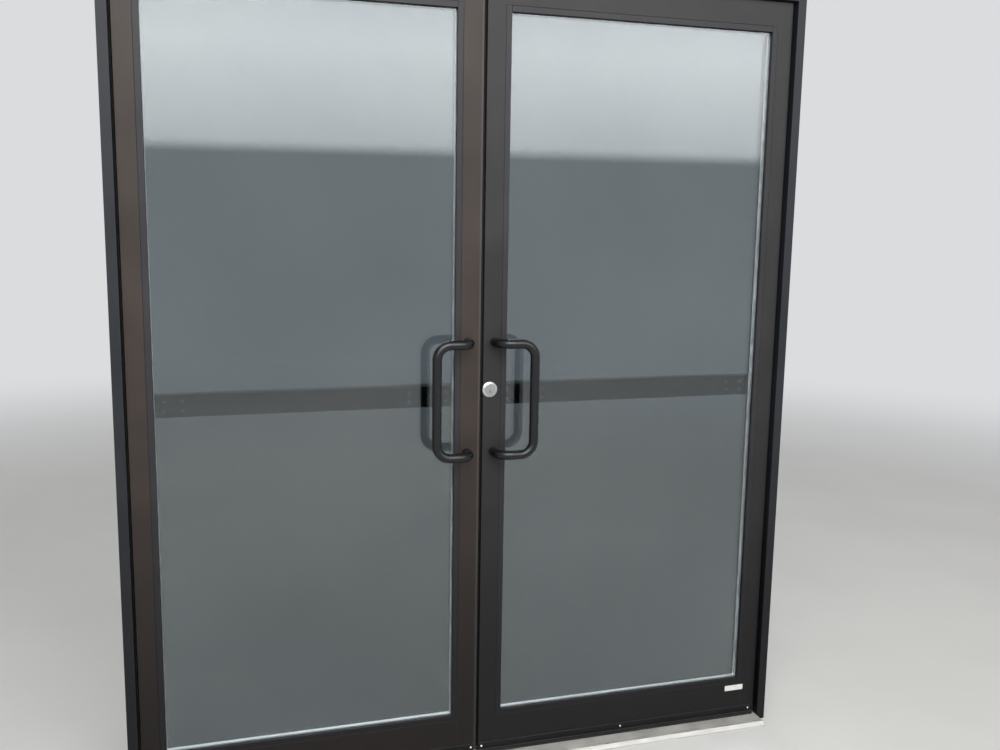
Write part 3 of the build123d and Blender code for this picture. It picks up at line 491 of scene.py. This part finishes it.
# Satin chrome on a turned cylinder: rings left by the lathe run round its axis
def turnedChrome(name, look):
    material, tree, place = startMaterial(name)
    centred = addNode(tree, "ShaderNodeMapping", {
        "Location": (-look["axisX"], 0.0, -look["axisZ"]), "Scale": (1.0, 0.0, 1.0),
    }, {"Vector": place})
    radius = addNode(tree, "ShaderNodeVectorMath", {"operation": "LENGTH"}, {
        0: centred.outputs["Vector"],
    })
    rings = addNode(tree, "ShaderNodeTexNoise", {
        "noise_dimensions": "1D", "Scale": 1 / look["ringPitch"], "Detail": 2.0,
    }, {"W": radius.outputs["Value"]})
    gloss = addNode(tree, "ShaderNodeMapRange", {
        "From Min": noiseLow, "From Max": noiseHigh,
        "To Min": look["roughness"], "To Max": look["roughness"] + look["dulling"],
    }, {"Value": rings.outputs["Fac"]})
    stops = linearStops(look["tones"])
    tone = addNode(tree, "ShaderNodeValToRGB", links={"Fac": rings.outputs["Fac"]}, stops=stops)
    bump = addNode(tree, "ShaderNodeBump", {
        "Strength": look["relief"], "Distance": look["ringHeight"],
    }, {"Height": rings.outputs["Fac"]})
    metal = addNode(tree, "ShaderNodeBsdfPrincipled", {"Metallic": 1.0}, {
        "Base Color": tone.outputs["Color"],
        "Roughness": gloss.outputs["Result"],
        "Normal": bump.outputs["Normal"],
    })
    addNode(tree, "ShaderNodeOutputMaterial", links={"Surface": metal.outputs["BSDF"]})
    return material


# the lathe's rings are nearer 0.1 mm in life and are drawn at 0.6 mm so that they show
collarLow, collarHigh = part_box("right_cylinder_collar")
cylinderChrome = {
    "tones": [(noiseLow, "#D2D3D4"), (noiseHigh, "#E6E7E8")], "roughness": 0.2, "dulling": 0.14,
    "ringPitch": 0.6 * mm, "relief": 0.1, "ringHeight": 0.05 * mm,
    "axisX": (collarLow.x + collarHigh.x) / 2, "axisZ": (collarLow.z + collarHigh.z) / 2,
}
faceChrome = {
    **cylinderChrome, "tones": [(noiseLow, "#8E9092"), (noiseHigh, "#A9ABAD")], "roughness": 0.3,
}


# Extruded rubber seal: dead black, faintly greyed by age
def sealRubber(name, look):
    material, tree, place = startMaterial(name)
    bloom = addNode(tree, "ShaderNodeTexNoise", {"Scale": 1 / look["patch"], "Detail": 4.0}, {
        "Vector": place,
    })
    stops = linearStops(look["tones"])
    tone = addNode(tree, "ShaderNodeValToRGB", links={"Fac": bloom.outputs["Fac"]}, stops=stops)
    rubber = addNode(tree, "ShaderNodeBsdfPrincipled", {
        "Roughness": look["roughness"], "IOR": 1.5, "Specular IOR Level": look["shine"],
    }, {"Base Color": tone.outputs["Color"]})
    addNode(tree, "ShaderNodeOutputMaterial", links={"Surface": rubber.outputs["BSDF"]})
    return material


agedRubber = {
    "tones": [(0.4, "#0E0E0F"), (0.85, "#1D1D1E")], "roughness": 0.62, "shine": 0.35, "patch": 30 * mm,
}


# Brush strip: packed nylon bristles, drawn about 1 mm thick so that they show
def brushPile(name, look):
    material, tree, place = startMaterial(name)
    strands = addNode(tree, "ShaderNodeMapping", {"Scale": [1 / size for size in look["strands"]]}, {
        "Vector": place,
    })
    tufts = addNode(tree, "ShaderNodeTexNoise", {"Scale": 1.0, "Detail": 3.0}, {
        "Vector": strands.outputs["Vector"],
    })
    stops = linearStops(look["tones"])
    tone = addNode(tree, "ShaderNodeValToRGB", links={"Fac": tufts.outputs["Fac"]}, stops=stops)
    bump = addNode(tree, "ShaderNodeBump", {
        "Strength": look["relief"], "Distance": look["tuftHeight"],
    }, {"Height": tufts.outputs["Fac"]})
    nylon = addNode(tree, "ShaderNodeBsdfPrincipled", {
        "Roughness": look["roughness"], "Specular IOR Level": look["shine"],
    }, {"Base Color": tone.outputs["Color"], "Normal": bump.outputs["Normal"]})
    addNode(tree, "ShaderNodeOutputMaterial", links={"Surface": nylon.outputs["BSDF"]})
    return material


blackPile = {
    "tones": [(0.35, "#070707"), (0.75, "#1E1E1E")], "roughness": 0.7, "shine": 0.3,
    "strands": (33 * mm, 2.5 * mm, 1 * mm), "relief": 0.8, "tuftHeight": 0.6 * mm,
}


# Float glass: sharp, tinted through its thickness, the tint a little uneven from edge to edge. A dark
# tint is painted shade that dims what stands behind it.
# Lamps light what stands behind it through two faces of clear glass, each with the passing colour
def floatGlass(name, look):
    material, tree, place = startMaterial(name)
    drift = addNode(tree, "ShaderNodeTexNoise", {"Scale": 1 / look["patch"], "Detail": 2.0}, {
        "Vector": place,
    })
    stops = linearStops(look["tones"])
    tint = addNode(tree, "ShaderNodeValToRGB", links={"Fac": drift.outputs["Fac"]}, stops=stops)
    pane = addNode(tree, "ShaderNodeBsdfPrincipled", {
        "Transmission Weight": 1.0, "IOR": 1.52, "Roughness": 0.0,
    }, {"Base Color": tint.outputs["Color"]})
    clear = addNode(tree, "ShaderNodeBsdfTransparent", {"Color": hexToLinear(look["passing"])})
    path = addNode(tree, "ShaderNodeLightPath")
    passing = addNode(tree, "ShaderNodeMixShader", links={
        0: path.outputs["Is Shadow Ray"], 1: pane.outputs["BSDF"], 2: clear.outputs["BSDF"],
    })
    addNode(tree, "ShaderNodeOutputMaterial", links={"Surface": passing.outputs["Shader"]})
    return material


# clear outside, so that the spacer shows bright and several faces mirror the sky. The inside pane is
# clear in life and is tinted grey here as painted shade, so that little of the pale stage behind comes
# through
clearGlass = {
    "tones": [(noiseLow, "#E9F0F2"), (noiseHigh, "#EEF4F5")], "passing": "#F6F8F8", "patch": 500 * mm,
}
paintedShadeGlass = {**clearGlass, "tones": [(noiseLow, "#656C70"), (noiseHigh, "#6C7377")]}


# White vinyl film, a little yellowed
def vinylFilm(name, look):
    material, tree, place = startMaterial(name)
    age = addNode(tree, "ShaderNodeTexNoise", {"Scale": 1 / look["patch"], "Detail": 3.0}, {
        "Vector": place,
    })
    stops = linearStops(look["tones"])
    tone = addNode(tree, "ShaderNodeValToRGB", links={"Fac": age.outputs["Fac"]}, stops=stops)
    film = addNode(tree, "ShaderNodeBsdfPrincipled", {"Roughness": look["roughness"], "IOR": 1.46}, {
        "Base Color": tone.outputs["Color"],
    })
    addNode(tree, "ShaderNodeOutputMaterial", links={"Surface": film.outputs["BSDF"]})
    return material


agedFilm = {
    "tones": [(noiseLow, "#BDBCB6"), (noiseHigh, "#CFCEC9")], "roughness": 0.4, "patch": 15 * mm,
}


zinc = zincPlate("brightZincPlate", brightZinc)
rubber = sealRubber("sealRubber", agedRubber)
pile = brushPile("nylonBrush", blackPile)
clearPane = floatGlass("clearFloatGlass", clearGlass)
# the inside pane's grey tint is painted shade
paintedShadePane = floatGlass("paintedShadeFloatGlass", paintedShadeGlass)
jambPaint = powderCoat("satinFrameCoatUpright", frameCoat)
headPaint = powderCoat("satinFrameCoatLevel", headCoat)
devicePaint = powderCoat("satinBronzeDeviceCoat", deviceCoat)
pullPaint = powderCoat("satinBlackPullCoat", pullCoat)
sweepPaint = powderCoat("satinBlackSweepCoat", sweepCoat)
stopPaint = powderCoat("satinStopCoat", stopCoat)
astragalPaint = powderCoat("satinAstragalCoat", astragalCoat)
sillMetal = millAluminium("millAluminiumSill", thresholdMetal)
spacerBar = millAluminium("millAluminiumSpacer", spacerMetal)
chrome = turnedChrome("satinChromeTurned", cylinderChrome)
plugChrome = turnedChrome("satinChromeFace", faceChrome)
finishes = {
    "jamb_left": jambPaint, "jamb_right": jambPaint, "head": headPaint, "head_stop": headPaint,
    "corner_blocks": sillMetal, "threshold": sillMetal, "head_gasket": rubber, "jamb_brushes": pile,
    "top_pivots": zinc, "bottom_pivots": zinc, "strike_plates": headPaint,
    "left_astragal": astragalPaint, "left_astragal_brush": pile,
    "right_cylinder_body": plugChrome, "right_cylinder_collar": chrome,
    "right_cylinder_plug": plugChrome,
}
for side, coat in leafCoats.items():
    paintName = "satin" + side.capitalize() + "LeafCoat"
    upright = powderCoat(paintName + "Upright", coat)
    level = powderCoat(paintName + "Level", {**coat, "drawLines": levelLines})
    ofLeaf = {
        "hinge_stile": upright, "meeting_stile": upright, "top_rail": level, "bottom_rail": level,
        "glazing_stops": stopPaint, "glazing_gaskets": rubber, "outer_pane": clearPane,
        "inner_pane": paintedShadePane, "spacer": spacerBar, "tie_rods": zinc, "pivot_bushes": zinc,
        "pull_handle": pullPaint, "exit_rail": devicePaint, "exit_pad": devicePaint,
        "exit_case": devicePaint, "exit_bracket": devicePaint, "top_bolt": zinc, "bottom_bolt": zinc,
        "bolt_guides": zinc, "sweep_carrier": sweepPaint, "sweep_fin": rubber, "screws": zinc,
    }
    finishes.update({side + "_" + name: material for name, material in ofLeaf.items()})
for name, material in finishes.items():
    nodes[name].data.materials.clear()
    nodes[name].data.materials.append(material)
print("finishes set on", len(finishes), "nodes")


def finishPiece(work, name, material, body):
    bmesh.ops.remove_doubles(work, verts=work.verts, dist=mergeReach)
    bmesh.ops.recalc_face_normals(work, faces=work.faces)
    piece = bpy.data.objects.new(name, meshFrom(work, name))
    piece.data.materials.append(material)
    scene.collection.objects.link(piece)
    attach(piece, body)
    return piece


# Bare film plate near the heel of the right leaf's bottom rail
plate = {
    "width": 62 * mm, "height": 17 * mm, "thickness": 0.4 * mm, "corner": 1.5 * mm, "cornerSteps": 4,
    "fromStile": 75.5 * mm, "aboveRailFoot": 82.8 * mm,
}


def makePlate():
    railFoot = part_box("right_bottom_rail")[0]
    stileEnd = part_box("right_hinge_stile")[1]
    size = (plate["width"], plate["thickness"], plate["height"])
    work = bmesh.new()
    bmesh.ops.create_cube(work, size=1)
    bmesh.ops.scale(work, vec=size, verts=work.verts)
    corners = [e for e in work.edges if abs(e.verts[0].co.y - e.verts[1].co.y) > plate["thickness"] / 2]
    bmesh.ops.bevel(
        work, geom=corners, offset=plate["corner"], segments=plate["cornerSteps"], profile=0.5,
        affect="EDGES", material=-1,
    )
    bmesh.ops.translate(work, verts=work.verts, vec=(
        stileEnd.x - plate["fromStile"],
        railFoot.y - plate["thickness"] / 2,
        railFoot.z + plate["aboveRailFoot"],
    ))
    film = vinylFilm("whiteVinylFilm", agedFilm)
    finishPiece(work, "bareFilmPlate", film, "right_leaf")


makePlate()
print("bare plate made")

# Screws: turned about the Y axis with the seat at zero and the head towards minus Y, with a cross
# recess pressed in. Recess, centre and draft are shares of the head's radius, depth is a share of
# its height, and armWidth is a share of the recess's centre
screwCut = {"steps": 32, "recess": 0.52, "centre": 0.2, "draft": 0.04, "depth": 0.45, "armWidth": 0.75}
screwPoint = {"radius": 0.8, "length": 0.4}  # shares of the shank's radius
# a head's outline, in shares of its radius and height
screwHeads = {
    "pan": [(1.0, 0.0), (1.0, -0.3), (0.93, -0.58), (0.78, -0.8), (0.6, -0.93)],
    "flat": [(1.0, 0.0), (0.97, -0.03)],
}


# the faces of a head's top that its cross recess takes up
def crossFaces(work, top, recessReach, centreReach):
    cross = []
    for face in work.faces:
        middle = face.calc_center_median()
        reach = math.hypot(middle.x, middle.z)
        onArm = min(abs(middle.x), abs(middle.z)) < centreReach * screwCut["armWidth"]
        if middle.y <= top + slack and reach <= recessReach and (onArm or reach < centreReach):
            cross.append(face)
    return cross


def turnScrew(head, spec, length):
    headRadius, headHeight, shankRadius = spec["headRadius"], spec["headHeight"], spec["shankRadius"]
    sunkHead = head == "flat"
    rings = [
        (0, length), (shankRadius * screwPoint["radius"], length),
        (shankRadius, length - shankRadius * screwPoint["length"]),
        (shankRadius, headHeight if sunkHead else 0),
    ]
    rings += [(headRadius * r, headHeight * y) for r, y in screwHeads[head]]
    top = rings[-1][1] if sunkHead else -headHeight
    recessReach, centreReach = headRadius * screwCut["recess"], headRadius * screwCut["centre"]
    rings += [(recessReach, top), (centreReach, top), (0, top)]
    work = bmesh.new()
    points = [work.verts.new((r, y, 0)) for r, y in rings]
    edges = [work.edges.new(pair) for pair in zip(points, points[1:])]
    bmesh.ops.spin(
        work, geom=points + edges, cent=(0, 0, 0), axis=(0, 1, 0), angle=math.tau,
        steps=screwCut["steps"], use_merge=True, use_duplicate=False,
    )
    bmesh.ops.remove_doubles(work, verts=work.verts, dist=mergeReach)
    bmesh.ops.recalc_face_normals(work, faces=work.faces)
    bmesh.ops.inset_region(
        work, faces=crossFaces(work, top, recessReach, centreReach),
        thickness=headRadius * screwCut["draft"], depth=-headHeight * screwCut["depth"],
    )
    return meshFrom(work, "screw")


def addTurned(work, mesh, place):
    before = len(work.verts)
    work.from_mesh(mesh)
    work.verts.ensure_lookup_table()
    bmesh.ops.transform(work, matrix=place, verts=work.verts[before:])
    bpy.data.meshes.remove(mesh)


# each CAD screw is a solid of its own, so its box gives the axis, the seat and the length
def looseBoxes(mesh):
    whole = bmesh.new()
    whole.from_mesh(mesh)
    bmesh.ops.remove_doubles(whole, verts=whole.verts, dist=slack)
    unseen = set(whole.verts)
    boxes = []
    while unseen:
        island = []
        front = [unseen.pop()]
        while front:
            vert = front.pop()
            island.append(vert.co.copy())
            for edge in vert.link_edges:
                other = edge.other_vert(vert)
                if other in unseen:
                    unseen.remove(other)
                    front.append(other)
        boxes.append((
            Vector([min(p[axis] for p in island) for axis in range(3)]),
            Vector([max(p[axis] for p in island) for axis in range(3)]),
        ))
    whole.free()
    return boxes


# the screws of a leaf, told apart by the radius of their heads
leafScrews = [
    {"headRadius": 7.0 * mm, "headHeight": 4.0 * mm, "shankRadius": 4.0 * mm, "fromInside": True},
    {"headRadius": 4.0 * mm, "headHeight": 2.4 * mm, "shankRadius": 2.0 * mm, "fromInside": False},
    {"headRadius": 3.2 * mm, "headHeight": 1.8 * mm, "shankRadius": 1.8 * mm, "fromInside": False},
]


def makeLeafScrews(side):
    halfTurn = Matrix.Rotation(math.pi, 4, "Z")
    work = bmesh.new()
    for low, high in looseBoxes(nodes[side + "_screws"].data):
        radius = (high.x - low.x) / 2
        spec = min(leafScrews, key=lambda kind: abs(kind["headRadius"] - radius))
        middle = (low + high) / 2
        if spec["fromInside"]:
            place = Matrix.Translation((middle.x, high.y - spec["headHeight"], middle.z)) @ halfTurn
        else:
            place = Matrix.Translation((middle.x, low.y + spec["headHeight"], middle.z))
        addTurned(work, turnScrew("pan", spec, high.y - low.y - spec["headHeight"]), place)
    piece = finishPiece(work, side + "LeafScrews", zinc, side + "_leaf")
    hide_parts(side + "_screws")


for side in sides:
    makeLeafScrews(side)
print("leaf screws made")

# Countersunk screws that hold the threshold down, in the CAD threshold's own holes
sillScrew = {
    "headRadius": 5.0 * mm, "headHeight": 2.4 * mm, "shankRadius": 2.4 * mm, "length": 12.0 * mm,
    "sunk": 0.25 * mm, "fromEdge": 14.0 * mm, "pitch": 392.0 * mm, "pairs": 5,
}


def makeSillScrews():
    sillLow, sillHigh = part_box("threshold")
    standUp = Matrix.Rotation(-math.pi / 2, 4, "X")
    work = bmesh.new()
    for y in (sillLow.y + sillScrew["fromEdge"], sillHigh.y - sillScrew["fromEdge"]):
        for step in range(sillScrew["pairs"]):
            x = (step - (sillScrew["pairs"] - 1) / 2) * sillScrew["pitch"]
            place = Matrix.Translation((x, y, sillHigh.z - sillScrew["sunk"])) @ standUp
            addTurned(work, turnScrew("flat", sillScrew, sillScrew["length"]), place)
    finishPiece(work, "sillScrews", zinc, "frame")


makeSillScrews()
print("threshold screws made")
